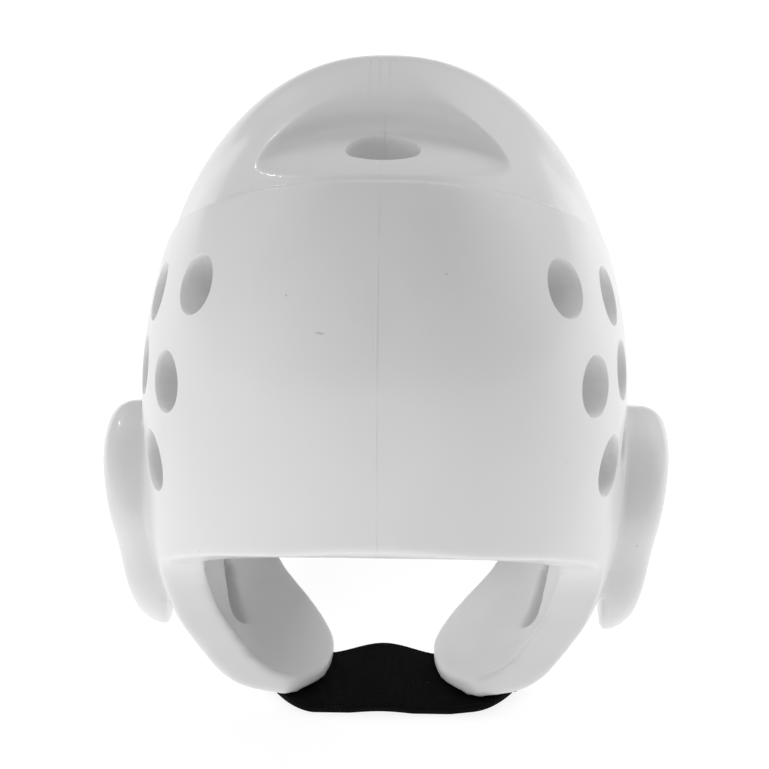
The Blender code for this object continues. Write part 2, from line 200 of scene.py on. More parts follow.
# Places along the neck opening from its front to its rear, and half widths as shares of its half width
NeckRow = namedtuple("NeckRow", "along width")
NECK_ROWS = (
    NeckRow(0.000, 0.95),
    NeckRow(0.057, 0.90),
    NeckRow(0.095, 0.80),
    NeckRow(0.127, 0.66),
    NeckRow(0.165, 0.53),
    NeckRow(0.210, 0.445),
    NeckRow(0.266, 0.415),
    NeckRow(0.330, 0.41),
    NeckRow(0.400, 0.455),
    NeckRow(0.494, 0.56),
    NeckRow(0.600, 0.705),
    NeckRow(0.728, 0.905),
    NeckRow(0.823, 1.00),
    NeckRow(0.905, 0.94),
    NeckRow(0.962, 0.73),
    NeckRow(0.990, 0.42),
    NeckRow(1.000, 0.14),
)

# The recess before the hoop: reach as a share of half its width and length, height as a share of its depth
RecessRow = namedtuple("RecessRow", "reach height")
RECESS_ROWS = (
    RecessRow(0.20, 0.00),
    RecessRow(0.50, 0.00),
    RecessRow(0.72, 0.03),
    RecessRow(0.87, 0.12),
    RecessRow(0.95, 0.28),
    RecessRow(1.00, 0.50),
    RecessRow(1.10, 0.68),
    RecessRow(1.30, 0.84),
    RecessRow(1.60, 0.97),
    RecessRow(2.00, 1.12),
)

# The face opening from the side: places behind the forehead as shares of the way to the jaw's front edge,
# and heights as shares of the way from the temple corner up to the brow, or down to the floor
FaceRow = namedtuple("FaceRow", "back height")
BROW_ROWS = (
    FaceRow(-0.30, 1.06),
    FaceRow(0.00, 1.00),
    FaceRow(0.09, 0.86),
    FaceRow(0.40, 0.60),
    FaceRow(0.72, 0.30),
    FaceRow(0.93, 0.10),
)
JAW_ROWS = (
    FaceRow(1.01, -0.05),
    FaceRow(1.045, -0.16),
    FaceRow(1.06, -0.35),
    FaceRow(1.05, -0.60),
    FaceRow(1.02, -0.85),
    FaceRow(0.99, -1.20),
)

# Vent holes on the right side: degrees round from the front, and heights as shares of the shell's height
Vent = namedtuple("Vent", "turn height")
VENTS = (
    Vent(44.5, 0.765),
    Vent(46.0, 0.612),
    Vent(50.5, 0.455),
    Vent(67.0, 0.685),
    Vent(65.0, 0.570),
    Vent(67.5, 0.430),
)

# A bore's rounded lip: distance out along the bore from the surface, and how far it widens there
LipRing = namedtuple("LipRing", "along flare")
LIP_RINGS = (
    LipRing(-0.0030, 0.00000),
    LipRing(-0.0022, 0.00008),
    LipRing(-0.0014, 0.00030),
    LipRing(-0.0007, 0.00070),
    LipRing(-0.0001, 0.00130),
    LipRing(0.0003, 0.00220),
)

Hull = namedtuple("Hull", "half_width front rear bottom top squareness front_rise rear_rise")
OUTER = Hull(
    half_width=SHELL_WIDTH / 2,
    front=SHELL_LENGTH / 2 + CROWN_SET_BACK,
    rear=SHELL_LENGTH / 2 - CROWN_SET_BACK,
    bottom=0.0,
    top=SHELL_HEIGHT,
    squareness=2.4,
    front_rise=2.8,
    rear_rise=2.1,
)
CAVITY = Hull(
    half_width=OUTER.half_width - SIDE_WALL,
    front=OUTER.front - END_WALL,
    rear=OUTER.rear - END_WALL,
    bottom=FLOOR_WALL,
    top=SHELL_HEIGHT - CROWN_WALL,
    squareness=2.7,
    front_rise=2.5,
    rear_rise=2.3,
)

# Studio
SKY_STRENGTH = 0.30
FLOOR_REACH = 6
CAMERA_ELEVATION = radians(25)
CAMERA_TURN = radians(1.6)
CAMERA_DISTANCE = 1.0
CAMERA_TARGET = Vector((0, 0, 0.130))
SENSOR_WIDTH = 36
FRAME_PIXELS = 769
FOCAL_PIXELS = 2386.3
CENTRE_PIXEL = (385.0, 367.92)

# Lamps round the headgear: degrees round from before its face and up, metres away and across, and watts
Lamp = namedtuple("Lamp", "name azimuth elevation distance width height power mirrored")
LAMPS = (
    Lamp("left_window", -68, 7, 1.5, 1.1, 0.9, 5.6, False),
    Lamp("right_window", 110, 10, 1.5, 0.9, 0.9, 3.6, False),
    Lamp("back_left_window", -150, 30, 1.6, 1.0, 0.8, 4.2, False),
    Lamp("back_right_window", 142, 28, 1.6, 1.0, 0.8, 7.5, False),
    Lamp("ceiling_window", 0, 80, 1.8, 1.2, 1.2, 5.5, False),
    Lamp("left_lamp", -148, 25, 1.5, 0.06, 0.06, 0.4, True),
)
INSIDE_LAMP_PLACE = (-0.01, 0.00, 0.09)
INSIDE_LAMP_AIM = (0.09, -0.02, 0.05)
INSIDE_LAMP_SIZE = (0.05, 0.05)
INSIDE_LAMP_POWER = 0.034


# Curves


def smooth_row(rows, place):
    """The row at a place between rows, on a smooth curve through them."""
    last = len(rows) - 1
    first = min(int(place), last - 1)
    t = place - first
    a, b, c, d = (rows[min(max(first + k, 0), last)] for k in (-1, 0, 1, 2))
    return tuple(
        q + 0.5 * t * (r - p + t * (2 * p - 5 * q + 4 * r - s + t * (3 * (q - r) + s - p)))
        for p, q, r, s in zip(a, b, c, d)
    )


def smooth_rows(rows, steps):
    """The rows again with more between them, on a smooth curve through them."""
    kind = type(rows[0])
    return [kind(*smooth_row(rows, step / steps)) for step in range(steps * (len(rows) - 1) + 1)]


def smooth_step(value):
    value = min(max(value, 0.0), 1.0)
    return value * value * (3 - 2 * value)


def power(value, exponent):
    return copysign(abs(value) ** exponent, value)


def turns(count):
    return [2 * pi * step / count for step in range(count)]


# Moulded foam


def hull_levels(hull, dome_steps=DOME_STEPS):
    """Horizontal sections of a hull from its bottom to its top, in metres."""
    levels = []
    for row in smooth_rows(HULL_SECTIONS, HULL_STEPS)[:-1]:
        height = hull.bottom + row.height * (DOME_BASE - hull.bottom)
        lengths = (row.width * hull.half_width, row.front * hull.front, row.rear * hull.rear)
        levels.append(Section(height, *lengths))
    for step in range(dome_steps + 1):
        rise = sin(DOME_END_TURN * step / dome_steps)
        levels.append(
            Section(
                DOME_BASE + rise * (hull.top - DOME_BASE),
                sqrt(1 - rise**2) * hull.half_width,
                (1 - rise**hull.front_rise) ** (1 / hull.front_rise) * hull.front,
                (1 - rise**hull.rear_rise) ** (1 / hull.rear_rise) * hull.rear,
            )
        )
    return levels


def level_point(hull, level, turn):
    """A point on a section, turn radians round from +X."""
    length = level.rear if sin(turn) > 0 else level.front
    x = level.width * power(cos(turn), 2 / hull.squareness)
    y = CROWN_SET_BACK + length * power(sin(turn), 2 / hull.squareness)
    return Vector((x, y, level.height))


def jaw_lift(point):
    """How far the padding under the jaw stands off the floor, to make room for the strap."""
    forward = smooth_step((NECK_REAR / 2 - point.y) / (NECK_REAR / 2))
    return JAW_LIFT * forward * smooth_step(1 - point.z / DOME_BASE)


def band_share(point):
    """How much of the forehead band's step is left: all of it in front, none behind the ears."""
    return smooth_step((SHELL_LENGTH / 5 - point.y) / (SHELL_LENGTH / 5))


def outer_point(level, turn, inset):
    """A point on the shell's outside. inset says how far it is pushed in, from the share of the band."""
    point = level_point(OUTER, level, turn)
    middle = Vector((0, CROWN_SET_BACK, min(max(point.z, BILGE_HEIGHT), DOME_BASE)))
    point += (middle - point).normalized() * inset(band_share(point))
    point.z += jaw_lift(point)
    return point


def loft(rings):
    """A closed bmesh through rings of points, with a flat face at each end."""
    mesh = bmesh.new()
    loops = []
    for ring in rings:
        verts = [mesh.verts.new(point) for point in ring]
        loops.append([mesh.edges.new((verts[i - 1], verts[i])) for i in range(len(verts))])
    for lower, upper in zip(loops, loops[1:]):
        bmesh.ops.bridge_loops(mesh, edges=lower + upper)
    for end in (loops[0], loops[-1]):
        bmesh.ops.edgeloop_fill(mesh, edges=end)
    bmesh.ops.recalc_face_normals(mesh, faces=mesh.faces)
    return mesh


def hull_mesh(inset, floor_rise):
    """The outer form, set in by inset, with its underside floor_rise higher inside its lower rim."""
    levels = hull_levels(OUTER)
    lowest = levels[0]
    for share in HULL_FLOOR_SHARES:
        levels.insert(0, Section(lowest.height + floor_rise, *(share * length for length in lowest[1:])))
    return loft([[outer_point(level, turn, inset) for turn in turns(HULL_SEGMENTS)] for level in levels])


def crown_mesh():
    """The whole outer form, set in by the band's step in front."""
    return hull_mesh(lambda share: BAND_STEP * share, 0)


def band_mesh():
    """The forehead band: the outer form up to a tilted plane, sunk into the crown at the back and below."""
    mesh = hull_mesh(lambda share: BAND_OVERLAP * max(1 - 2 * share, 0), BAND_STEP)
    cut = bmesh.ops.bisect_plane(
        mesh,
        geom=list(mesh.verts) + list(mesh.edges) + list(mesh.faces),
        plane_co=(0, 0, BAND_EDGE_SIDE),
        plane_no=(0, BAND_EDGE_SLOPE, 1),
        clear_outer=True,
    )
    edges = [item for item in cut["geom_cut"] if isinstance(item, bmesh.types.BMEdge)]
    bmesh.ops.edgeloop_fill(mesh, edges=edges)
    bmesh.ops.recalc_face_normals(mesh, faces=mesh.faces)
    return mesh


def cavity_mesh():
    levels = hull_levels(CAVITY)
    return loft([[level_point(CAVITY, level, turn) for turn in turns(CAVITY_SEGMENTS)] for level in levels])


def face_opening_mesh():
    """What lies before the jaw guards and below the brow, seen from the side and run across the width."""
    front = -SHELL_LENGTH / 2
    way = SHELL_LENGTH / 2 - JAW_FRONT
    rise = BROW_HEIGHT - TEMPLE_HEIGHT
    outline = [(front + row.back * way, TEMPLE_HEIGHT + row.height * rise) for row in BROW_ROWS]
    outline += [(front + row.back * way, TEMPLE_HEIGHT * (1 + row.height)) for row in JAW_ROWS]
    outline.append((outline[0][0], outline[-1][1]))
    return loft([[Vector((x, y, z)) for y, z in outline] for x in (-SHELL_WIDTH, SHELL_WIDTH)])


def neck_opening_mesh():
    right = []
    for row in smooth_rows(NECK_ROWS, NECK_STEPS):
        right.append((row.width * NECK_WIDTH / 2, -NECK_FRONT + row.along * (NECK_FRONT + NECK_REAR)))
    outline = right + [(-x, y) for x, y in reversed(right)]
    return loft([[Vector((x, y, z)) for x, y in outline] for z in (-FLOOR_WALL, 3 * FLOOR_WALL)])


def crown_drop(x):
    """How far the crown falls from its middle to a place across it."""
    return (SHELL_HEIGHT - DOME_BASE) * (1 - sqrt(1 - (x / OUTER.half_width) ** 2))


def recess_fall(x, y):
    """How far the recess's floor lies below the crown's top."""
    across = min(abs(x), RECESS_WIDTH / 2)
    share = smooth_step(across / (RECESS_WIDTH / 2))
    bend = RECESS_BEND_MIDDLE + (RECESS_BEND_SIDE - RECESS_BEND_MIDDLE) * share
    return RECESS_DEPTH + bend * crown_drop(across) + sin(RECESS_TILT) * (y + RECESS_CENTRE)


def recess_mesh():
    """A flat-bottomed bowl with flared sides, bent across, between the hoop and the band that closes it."""
    rings = []
    for row in smooth_rows(RECESS_ROWS, RECESS_STEPS):
        ring = []
        for turn in turns(RECESS_SEGMENTS):
            at_back = sin(turn) > 0
            roundness = 1 if at_back else RECESS_FRONT_ROUNDNESS
            stretch = 1 if at_back else RECESS_FRONT_STRETCH
            x = row.reach * power(cos(turn), roundness) * RECESS_WIDTH / 2
            y = row.reach * power(sin(turn), roundness) * stretch * RECESS_LENGTH / 2 - RECESS_CENTRE
            fall = recess_fall(x, y) - RECESS_DEPTH * row.height
            ring.append(Vector((x, y, SHELL_HEIGHT - fall)))
        rings.append(ring)
    rings.append([Vector((point.x, point.y, SHELL_HEIGHT + RECESS_DEPTH)) for point in rings[-1]])
    return loft(rings)


def wall_place(hull, turn, height):
    """The place on a hull's side at a height, and the way out of the wall there."""
    levels = hull_levels(hull, PROBE_DOME_STEPS)
    places = []
    for level_height in (height - PROBE_RISE, height + PROBE_RISE):
        level = min(levels, key=lambda row: abs(row.height - level_height))
        places.append([level_point(hull, level, turn + step) for step in (-PROBE_TURN, PROBE_TURN)])
    middle = sum((point for pair in places for point in pair), Vector()) / 4
    along = places[0][1] - places[0][0]
    up = places[1][0] - places[0][0]
    return middle, along.cross(up).normalized()


def plan_turn(hull, degrees):
    """The section's own angle for a direction seen from above, in degrees round from the front."""
    across = sin(radians(degrees)) / hull.half_width
    forward = cos(radians(degrees)) / hull.front
    bend = hull.squareness / 2
    return atan2(-(forward**bend), across**bend)


def bore_mesh(place, out, half_width, half_height, reach_in, reach_out):
    """A bore along out, with a rounded lip at its place. Further out it widens as much as it goes on."""
    level = out.cross(Vector((0, 0, 1)))
    level = level.normalized() if level.length > 0.1 else Vector((1, 0, 0))
    up = level.cross(out)
    rings = [LipRing(-reach_in, 0.0), *LIP_RINGS, LipRing(reach_out, reach_out)]
    return loft(
        [
            [
                place
                + out * ring.along
                + level * (cos(turn) * (half_width + ring.flare))
                + up * (sin(turn) * (half_height + ring.flare))
                for turn in turns(BORE_SEGMENTS)
            ]
            for ring in rings
        ]
    )


def vent_meshes():
    """The crown's vent hole and the ones on both sides."""
    crown_place = Vector((0, -CROWN_VENT_CENTRE, SHELL_HEIGHT - recess_fall(0, -CROWN_VENT_CENTRE)))
    half = CROWN_VENT_DIAMETER / 2
    meshes = [bore_mesh(crown_place, Vector((0, 0, 1)), half, half, CROWN_WALL, CROWN_VENT_REACH_OUT)]
    half = VENT_DIAMETER / 2
    for vent in VENTS:
        place, out = wall_place(OUTER, plan_turn(OUTER, vent.turn), vent.height * SHELL_HEIGHT)
        for side in (1, -1):
            mirror = Vector((side, 1, 1))
            ends = (VENT_REACH_IN, VENT_REACH_OUT)
            meshes.append(bore_mesh(place * mirror, out * mirror, half, VENT_FLATNESS * half, *ends))
    return meshes


def ear_outline(turn, inset):
    """The ear guard's outline from the side: y and z, waisted in the middle and leaning forward below."""
    rise = power(sin(turn), 2 / EAR_SQUARENESS)
    waist = 1 - EAR_WAIST * smooth_step(1 - abs(rise - EAR_WAIST_PLACE) / EAR_WAIST_REACH)
    depth = (EAR_DEPTH / 2) * (1 + EAR_WIDENING * rise) * waist - inset
    y = EAR_CENTRE_Y + depth * power(cos(turn), 2 / EAR_SQUARENESS) + EAR_LEAN * rise
    return y, EAR_CENTRE_HEIGHT + (EAR_HEIGHT / 2 - inset) * rise


def ear_guard_mesh(side):
    """A rounded pad that stands out from the side wall, thicker at its top."""
    face = OUTER.half_width + EAR_PROUD
    layers = [(0.0, OUTER.half_width - SIDE_WALL / 2)]
    for step in range(EAR_STEPS + 1):
        bend = EAR_EDGE_TURN * step / EAR_STEPS
        layers.append((EAR_ROUNDING * (1 - cos(bend)), face - EAR_ROUNDING * (1 - sin(bend))))
    layers.append((EAR_ROUNDING * EAR_CROWN_INSET, face + EAR_ROUNDING * EAR_CROWN_RISE))
    rings = []
    for number, (inset, reach) in enumerate(layers):
        ring = []
        for turn in turns(EAR_SEGMENTS):
            y, z = ear_outline(turn, inset)
            lean = sin(EAR_TILT) * (z - EAR_CENTRE_HEIGHT - EAR_HEIGHT / 4) if number else 0
            ring.append(Vector((side * (reach + lean), y, z)))
        rings.append(ring)
    return loft(rings)


def inner_slot_mesh(side):
    """A narrow pocket in the inner wall above each jaw guard, rising towards the back."""
    place, out = wall_place(CAVITY, INNER_SLOT_TURN, INNER_SLOT_HEIGHT)
    place.x *= side
    out.x *= side
    level = out.cross(Vector((0, 0, 1))).normalized() * -side
    along = Matrix.Rotation(side * INNER_SLOT_RISE, 3, out) @ level
    pose = Matrix((along, out.cross(along), out)).transposed().to_4x4()
    mesh = bmesh.new()
    bmesh.ops.create_cube(mesh, size=1)
    bmesh.ops.scale(mesh, verts=mesh.verts, vec=(INNER_SLOT_LENGTH, INNER_SLOT_WIDTH, 2 * INNER_SLOT_DEPTH))
    bmesh.ops.transform(mesh, matrix=Matrix.Translation(place) @ pose, verts=mesh.verts)
    return mesh


# Strap


def under_height(x, y):
    """The height of the padding's underside at a place in plan."""
    low, high = 0.0, float(len(HULL_SECTIONS) - 1)
    for _ in range(24):
        middle = (low + high) / 2
        row = Section(*smooth_row(HULL_SECTIONS, middle))
        length = row.rear * OUTER.rear if y > CROWN_SET_BACK else row.front * OUTER.front
        across = abs(x / (row.width * OUTER.half_width)) ** OUTER.squareness
        if across + abs((y - CROWN_SET_BACK) / length) ** OUTER.squareness > 1:
            low = middle
        else:
            high = middle
    height = Section(*smooth_row(HULL_SECTIONS, high)).height * DOME_BASE
    return height + jaw_lift(Vector((x, y, height)))


def strap_y(x, back):
    """Where the strap lies front to back, at a share of its width: it turns back under the jaw guards."""
    outward = max(0.0, (abs(x - STRAP_SHIFT) - STRAP_STRAIGHT / 2) / (STRAP_REACH - STRAP_STRAIGHT / 2))
    return STRAP_SWEEP * outward**2 + STRAP_WIDTH * back - STRAP_FRONT


def strap_height(x, y):
    """The height of the middle of the strap's thickness: humped in the middle, then against the padding."""
    back = (y - strap_y(x, 0)) / STRAP_WIDTH
    lying = STRAP_THICKNESS * (0.5 + STRAP_BACK_LIFT * back)
    hump_share = STRAP_HUMP_FRONT + (1 - STRAP_HUMP_FRONT) * back
    hump = STRAP_HUMP * hump_share * smooth_step(1 - 2 * abs(x) / STRAP_FREE)
    step = STRAP_THICKNESS / 2
    under = under_height(abs(x), y)
    slope = (under_height(abs(x) + step, y) - under) / step, (under_height(abs(x), y + step) - under) / step
    gap = (STRAP_THICKNESS / 2 + STRAP_GAP) * sqrt(1 + slope[0] ** 2 + slope[1] ** 2)
    return max(lying + hump, under - gap)


def strap_place(x, y):
    """The middle of the strap's thickness at a place in plan, and the way up out of its face."""
    step = STRAP_THICKNESS / 2
    place = Vector((x, y, strap_height(x, y)))
    along = Vector((x + step, y, strap_height(x + step, y))) - place
    back = Vector((x, y + step, strap_height(x, y + step))) - place
    return place, along.cross(back).normalized()


def strap_end(side, bend, rise):
    """Places across one strap end, turned up by an angle and run on upwards, each with its way out."""
    x = STRAP_SHIFT + side * STRAP_REACH
    turned = Vector((side * STRAP_THICKNESS * sin(bend), 0, STRAP_THICKNESS * (1 - cos(bend)) + rise))
    across = []
    for row in range(STRAP_ROWS + 1):
        y = strap_y(x, row / STRAP_ROWS)
        lying = Vector((x, y, strap_height(x, y)))
        across.append((lying + turned, Vector((-side * sin(bend), 0, cos(bend)))))
    return across


def strap_mesh():
    stations = []
    for step in range(1 - STRAP_STATIONS, STRAP_STATIONS):
        x = STRAP_SHIFT + STRAP_REACH * step / STRAP_STATIONS
        stations.append([strap_place(x, strap_y(x, row / STRAP_ROWS)) for row in range(STRAP_ROWS + 1)])
    bends = [(pi / 2 * step / STRAP_END_BENDS, 0) for step in range(STRAP_END_BENDS + 1)]
    for bend, rise in bends + [(pi / 2, STRAP_TAB)]:
        stations.insert(0, strap_end(-1, bend, rise))
        stations.append(strap_end(1, bend, rise))
    rings = []
    for across in stations:
        upper = [place + out * STRAP_THICKNESS / 2 for place, out in across]
        lower = [place - out * STRAP_THICKNESS / 2 for place, out in reversed(across)]
        rings.append(upper + lower)
    return loft(rings)


def slit_mesh(side):
    """The slit that a strap end fills, open below."""
    across = [place for place, out in strap_end(side, pi / 2, STRAP_TAB + SLIT_CLEARANCE)]
    reach = Vector((STRAP_THICKNESS / 2 + SLIT_CLEARANCE, SLIT_CLEARANCE, 0))
    low = Vector((across[0].x, across[0].y, -FLOOR_WALL)) - reach
    high = Vector((across[-1].x, across[-1].y, max(place.z for place in across))) + reach
    mesh = bmesh.new()
    bmesh.ops.create_cube(mesh, size=1)
    bmesh.ops.scale(mesh, verts=mesh.verts, vec=high - low)
    bmesh.ops.translate(mesh, verts=mesh.verts, vec=(low + high) / 2)
    return mesh


# Making pieces


def new_object(name, mesh_data):
    mesh = bpy.data.meshes.new(name)
    mesh_data.to_mesh(mesh)
    mesh_data.free()
    piece = bpy.data.objects.new(name, mesh)
    bpy.context.scene.collection.objects.link(piece)
    return piece


def joined(meshes):
    """One bmesh of several that don't meet."""
    whole = bmesh.new()
    for part in meshes:
        carrier = bpy.data.meshes.new("carrier")
        part.to_mesh(carrier)
        part.free()
        whole.from_mesh(carrier)
        bpy.data.meshes.remove(carrier)
    return whole


def combine(piece, mesh_data, operation="DIFFERENCE"):
    """Adds or cuts a form, whose helper object goes once the piece is finished."""
    helper = new_object("helper", mesh_data)
    step = piece.modifiers.new("combine", "BOOLEAN")
    step.operation = operation
    step.solver = "EXACT"
    step.object = helper
    return helper


def finished(piece, helpers):
    """Applies a piece's modifiers and removes the helpers."""
    graph = bpy.context.evaluated_depsgraph_get()
    mesh = bpy.data.meshes.new_from_object(piece.evaluated_get(graph))
    rough = piece.data
    piece.modifiers.clear()
    piece.data = mesh
    mesh.name = piece.name
    bpy.data.meshes.remove(rough)
    for helper in helpers:
        form = helper.data
        bpy.data.objects.remove(helper)
        bpy.data.meshes.remove(form)
    mesh.shade_smooth()
    mesh.set_sharp_from_angle(angle=SHARP_ANGLE)
    return piece


def softness(place):
    """How far an edge there is rounded: fully, but less along the forehead band's rim and in the recess."""
    off_rim = (place.z - BAND_EDGE_SIDE + BAND_EDGE_SLOPE * place.y) / sqrt(1 + BAND_EDGE_SLOPE**2)
    near_rim = 1 - smooth_step(abs(off_rim) / RIM_REACH)
    at_rim = RIM_FIRMNESS * near_rim * smooth_step(1 - place.y / (SHELL_LENGTH / 5))
    off_recess = Vector((place.x / RECESS_WIDTH, (place.y + RECESS_CENTRE) / RECESS_LENGTH)).length
    in_recess = (1 - smooth_step((off_recess - RECESS_FIRM_SHARE) / RECESS_FIRM_FADE)) * (place.z > DOME_BASE)
    return 1 - max(at_rim, RECESS_FIRMNESS * in_recess)


def make_shell():
    """One moulding: its form is skinned in fine even faces and rounded, and then its holes are cut."""
    shell = new_object("moulded_shell", crown_mesh())
    helpers = [combine(shell, recess_mesh())]
    helpers.append(combine(shell, joined([ear_guard_mesh(side) for side in (1, -1)]), "UNION"))
    helpers.append(combine(shell, band_mesh(), "UNION"))
    cutters = [cavity_mesh(), neck_opening_mesh(), face_opening_mesh()]
    cutters += [inner_slot_mesh(side) for side in (1, -1)]
    helpers += [combine(shell, form) for form in cutters]
    skin = shell.modifiers.new("skin", "REMESH")
    skin.mode = "VOXEL"
    skin.voxel_size = SKIN_GRAIN
    finished(shell, helpers)
    soft_edges = shell.vertex_groups.new(name="soft_edges")
    for vertex in shell.data.vertices:
        soft_edges.add([vertex.index], softness(vertex.co), "REPLACE")
    rounding = shell.modifiers.new("rounding", "SMOOTH")
    rounding.factor = 0.5
    rounding.iterations = ROUNDING_PASSES
    rounding.vertex_group = soft_edges.name
    thinning = shell.modifiers.new("thinning", "DECIMATE")
    thinning.ratio = SKIN_TRIANGLES / (2 * len(shell.data.polygons))
    holes = joined(vent_meshes() + [slit_mesh(side) for side in (1, -1)])
    finished(shell, [combine(shell, holes)])
    shell.vertex_groups.clear()
    return shell


def make_strap():
    strap = new_object("elastic_chin_strap", strap_mesh())
    edge = strap.modifiers.new("edge", "BEVEL")
    edge.width = STRAP_THICKNESS * STRAP_EDGE_ROUNDING
    edge.segments = 3
    edge.limit_method = "ANGLE"
    edge.angle_limit = radians(50)
    return finished(strap, [])


# Finishes


def feed(tree, socket, source):
    """Links a socket to its source, or sets it where the source is a plain value."""
    if isinstance(source, bpy.types.NodeSocket):
        tree.links.new(source, socket)
    else:
        socket.default_value = source


def add_node(tree, kind, **inputs):
    """A node with its sockets fed by name, underscores standing for spaces."""
    node = tree.nodes.new(kind)
    for name, source in inputs.items():
        feed(tree, node.inputs[name.replace("_", " ")], source)
    return node


def calculate(tree, operation, *terms):
    node = tree.nodes.new("ShaderNodeMath")
    node.operation = operation
    for socket, term in zip(node.inputs, terms):
        feed(tree, socket, term)
    return node.outputs["Value"]


def weighted_sum(tree, *terms):
    """The sum of (value, weight) pairs."""
    total = 0.0
    for value, weight in terms:
        total = calculate(tree, "MULTIPLY_ADD", value, weight, total)
    return total


def fade(tree, value, start, end):
    """0 where the value is at start, 1 where it is at end, and smooth between them."""
    node = add_node(tree, "ShaderNodeMapRange", Value=value, From_Min=start, From_Max=end)
    node.interpolation_type = "SMOOTHSTEP"
    return node.outputs["Result"]


def noise(tree, place, scale, detail=2.0):
    return add_node(tree, "ShaderNodeTexNoise", Vector=place, Scale=scale, Detail=detail).outputs["Fac"]


def sparse_specks(tree, place, scale, radius, share):
    """Round specks in a share of the cells of a 3-D pattern, their radius in shares of a cell."""
    cells = add_node(tree, "ShaderNodeTexVoronoi", Vector=place, Scale=scale)
    lot = add_node(tree, "ShaderNodeSeparateColor", Color=cells.outputs["Color"]).outputs["Red"]
    chosen = calculate(tree, "LESS_THAN", lot, share)
    return calculate(tree, "MULTIPLY", fade(tree, cells.outputs["Distance"], radius, radius * 0.4), chosen)


def stripe(tree, x, middle, half_width):
    """A line where x is near middle."""
    away = calculate(tree, "ABSOLUTE", calculate(tree, "SUBTRACT", x, middle))
    return fade(tree, away, half_width, half_width * 0.2)


def new_effect(name, *outputs):
    """A node group with (name, kind) outputs. It reads the piece's own coordinates."""
    tree = bpy.data.node_groups.new(name, "ShaderNodeTree")
    for output, kind in outputs:
        tree.interface.new_socket(output, in_out="OUTPUT", socket_type="NodeSocket" + kind)
    place = tree.nodes.new("ShaderNodeTexCoord").outputs["Object"]
    return tree, place, add_node(tree, "ShaderNodeSeparateXYZ", Vector=place).outputs


def put_out(tree, **sources):
    add_node(tree, "NodeGroupOutput", **sources)
    return tree


def mould_lines():
    """Faint lines where the mould's halves met: one down the forehead and three over the hoop."""
    tree, place, (x, y, z) = new_effect("mould_lines", ("Line", "Float"))
    before = fade(tree, y, *FOREHEAD_SEAM_BACK)
    over_hoop = calculate(tree, "MULTIPLY", fade(tree, y, *HOOP_SEAM_FRONT), fade(tree, z, *HOOP_SEAM_FOOT))
    lines = calculate(tree, "MULTIPLY", stripe(tree, x, 0.0, SEAM_WIDTH), before)
    for middle in HOOP_SEAMS:
        lines = calculate(tree, "MULTIPLY_ADD", stripe(tree, x, middle, SEAM_WIDTH), over_hoop, lines)
    uneven = fade(tree, noise(tree, place, scale=45), 0.25, 0.6)
    return put_out(tree, Line=calculate(tree, "MULTIPLY", lines, uneven))


def handling_marks():
    """A short scuff on the forehead, a few specks and dull rubbed patches."""
    tree, place, (x, y, z) = new_effect("handling_marks", ("Dark", "Float"), ("Dull", "Float"))
    across = calculate(tree, "DIVIDE", calculate(tree, "SUBTRACT", x, SCUFF.x), SCUFF.half_length)
    up = calculate(tree, "DIVIDE", calculate(tree, "SUBTRACT", z, SCUFF.z), SCUFF.half_width)
    reach = calculate(tree, "SQRT", weighted_sum(tree, (across, across), (up, up)))
    scuff = calculate(tree, "MULTIPLY", fade(tree, reach, 1.0, 0.4), fade(tree, y, *SCUFF_BACK))
    specks = sparse_specks(tree, place, scale=85, radius=0.055, share=0.2)
    stretched = add_node(tree, "ShaderNodeMapping", Vector=place, Scale=(30, 30, 11)).outputs["Vector"]
    rubbed = fade(tree, noise(tree, stretched, scale=1.0, detail=5.0), 0.5, 0.72)
    return put_out(tree, Dark=weighted_sum(tree, (scuff, 0.5), (specks, 0.5), (rubbed, 0.06)), Dull=rubbed)


def dipped_foam():
    """The skin of dipped foam: soft mottling, and a normal with low waves and fine orange peel."""
    tree, place, _ = new_effect("dipped_foam", ("Mottling", "Float"), ("Height", "Float"))
    waves = noise(tree, place, scale=26, detail=1.0)
    peel = noise(tree, place, scale=620)
    height = weighted_sum(tree, (waves, WAVE_RELIEF), (peel, PEEL_RELIEF))
    return put_out(tree, Mottling=noise(tree, place, scale=17, detail=3.0), Height=height)


def woven_ribs():
    """Elastic webbing: ribs along it and a finer weave across it, with a few bits of lint."""
    tree, place, (x, y, _) = new_effect("woven_ribs", ("Height", "Float"), ("Lint", "Float"))
    ribs = calculate(tree, "SINE", calculate(tree, "MULTIPLY", y, 2 * pi / RIB_SPACING))
    weave = calculate(tree, "SINE", calculate(tree, "MULTIPLY", x, 2 * pi / WEAVE_SPACING))
    fuzz = noise(tree, place, scale=300)
    height = weighted_sum(tree, (ribs, RIB_RELIEF), (weave, WEAVE_RELIEF), (fuzz, FUZZ_RELIEF))
    return put_out(tree, Height=height, Lint=sparse_specks(tree, place, scale=160, radius=0.07, share=0.12))


def new_material(name, **values):
    material = bpy.data.materials.new(name)
    material.use_nodes = True
    finish = material.node_tree.nodes["Principled BSDF"]
    for socket, value in values.items():
        finish.inputs[socket.replace("_", " ")].default_value = value
    return material, material.node_tree, finish


def use_effect(tree, effect):
    node = tree.nodes.new("ShaderNodeGroup")
    node.node_tree = effect
    return node.outputs


def mixed_colour(tree, share, clean, marked):
    node = tree.nodes.new("ShaderNodeMix")
    node.data_type = "RGBA"
    feed(tree, node.inputs["Factor"], share)
    colours = [socket for socket in node.inputs if socket.type == "RGBA"]
    for socket, colour in zip(colours, (clean, marked)):
        socket.default_value = (*colour, 1)
    return next(socket for socket in node.outputs if socket.type == "RGBA")


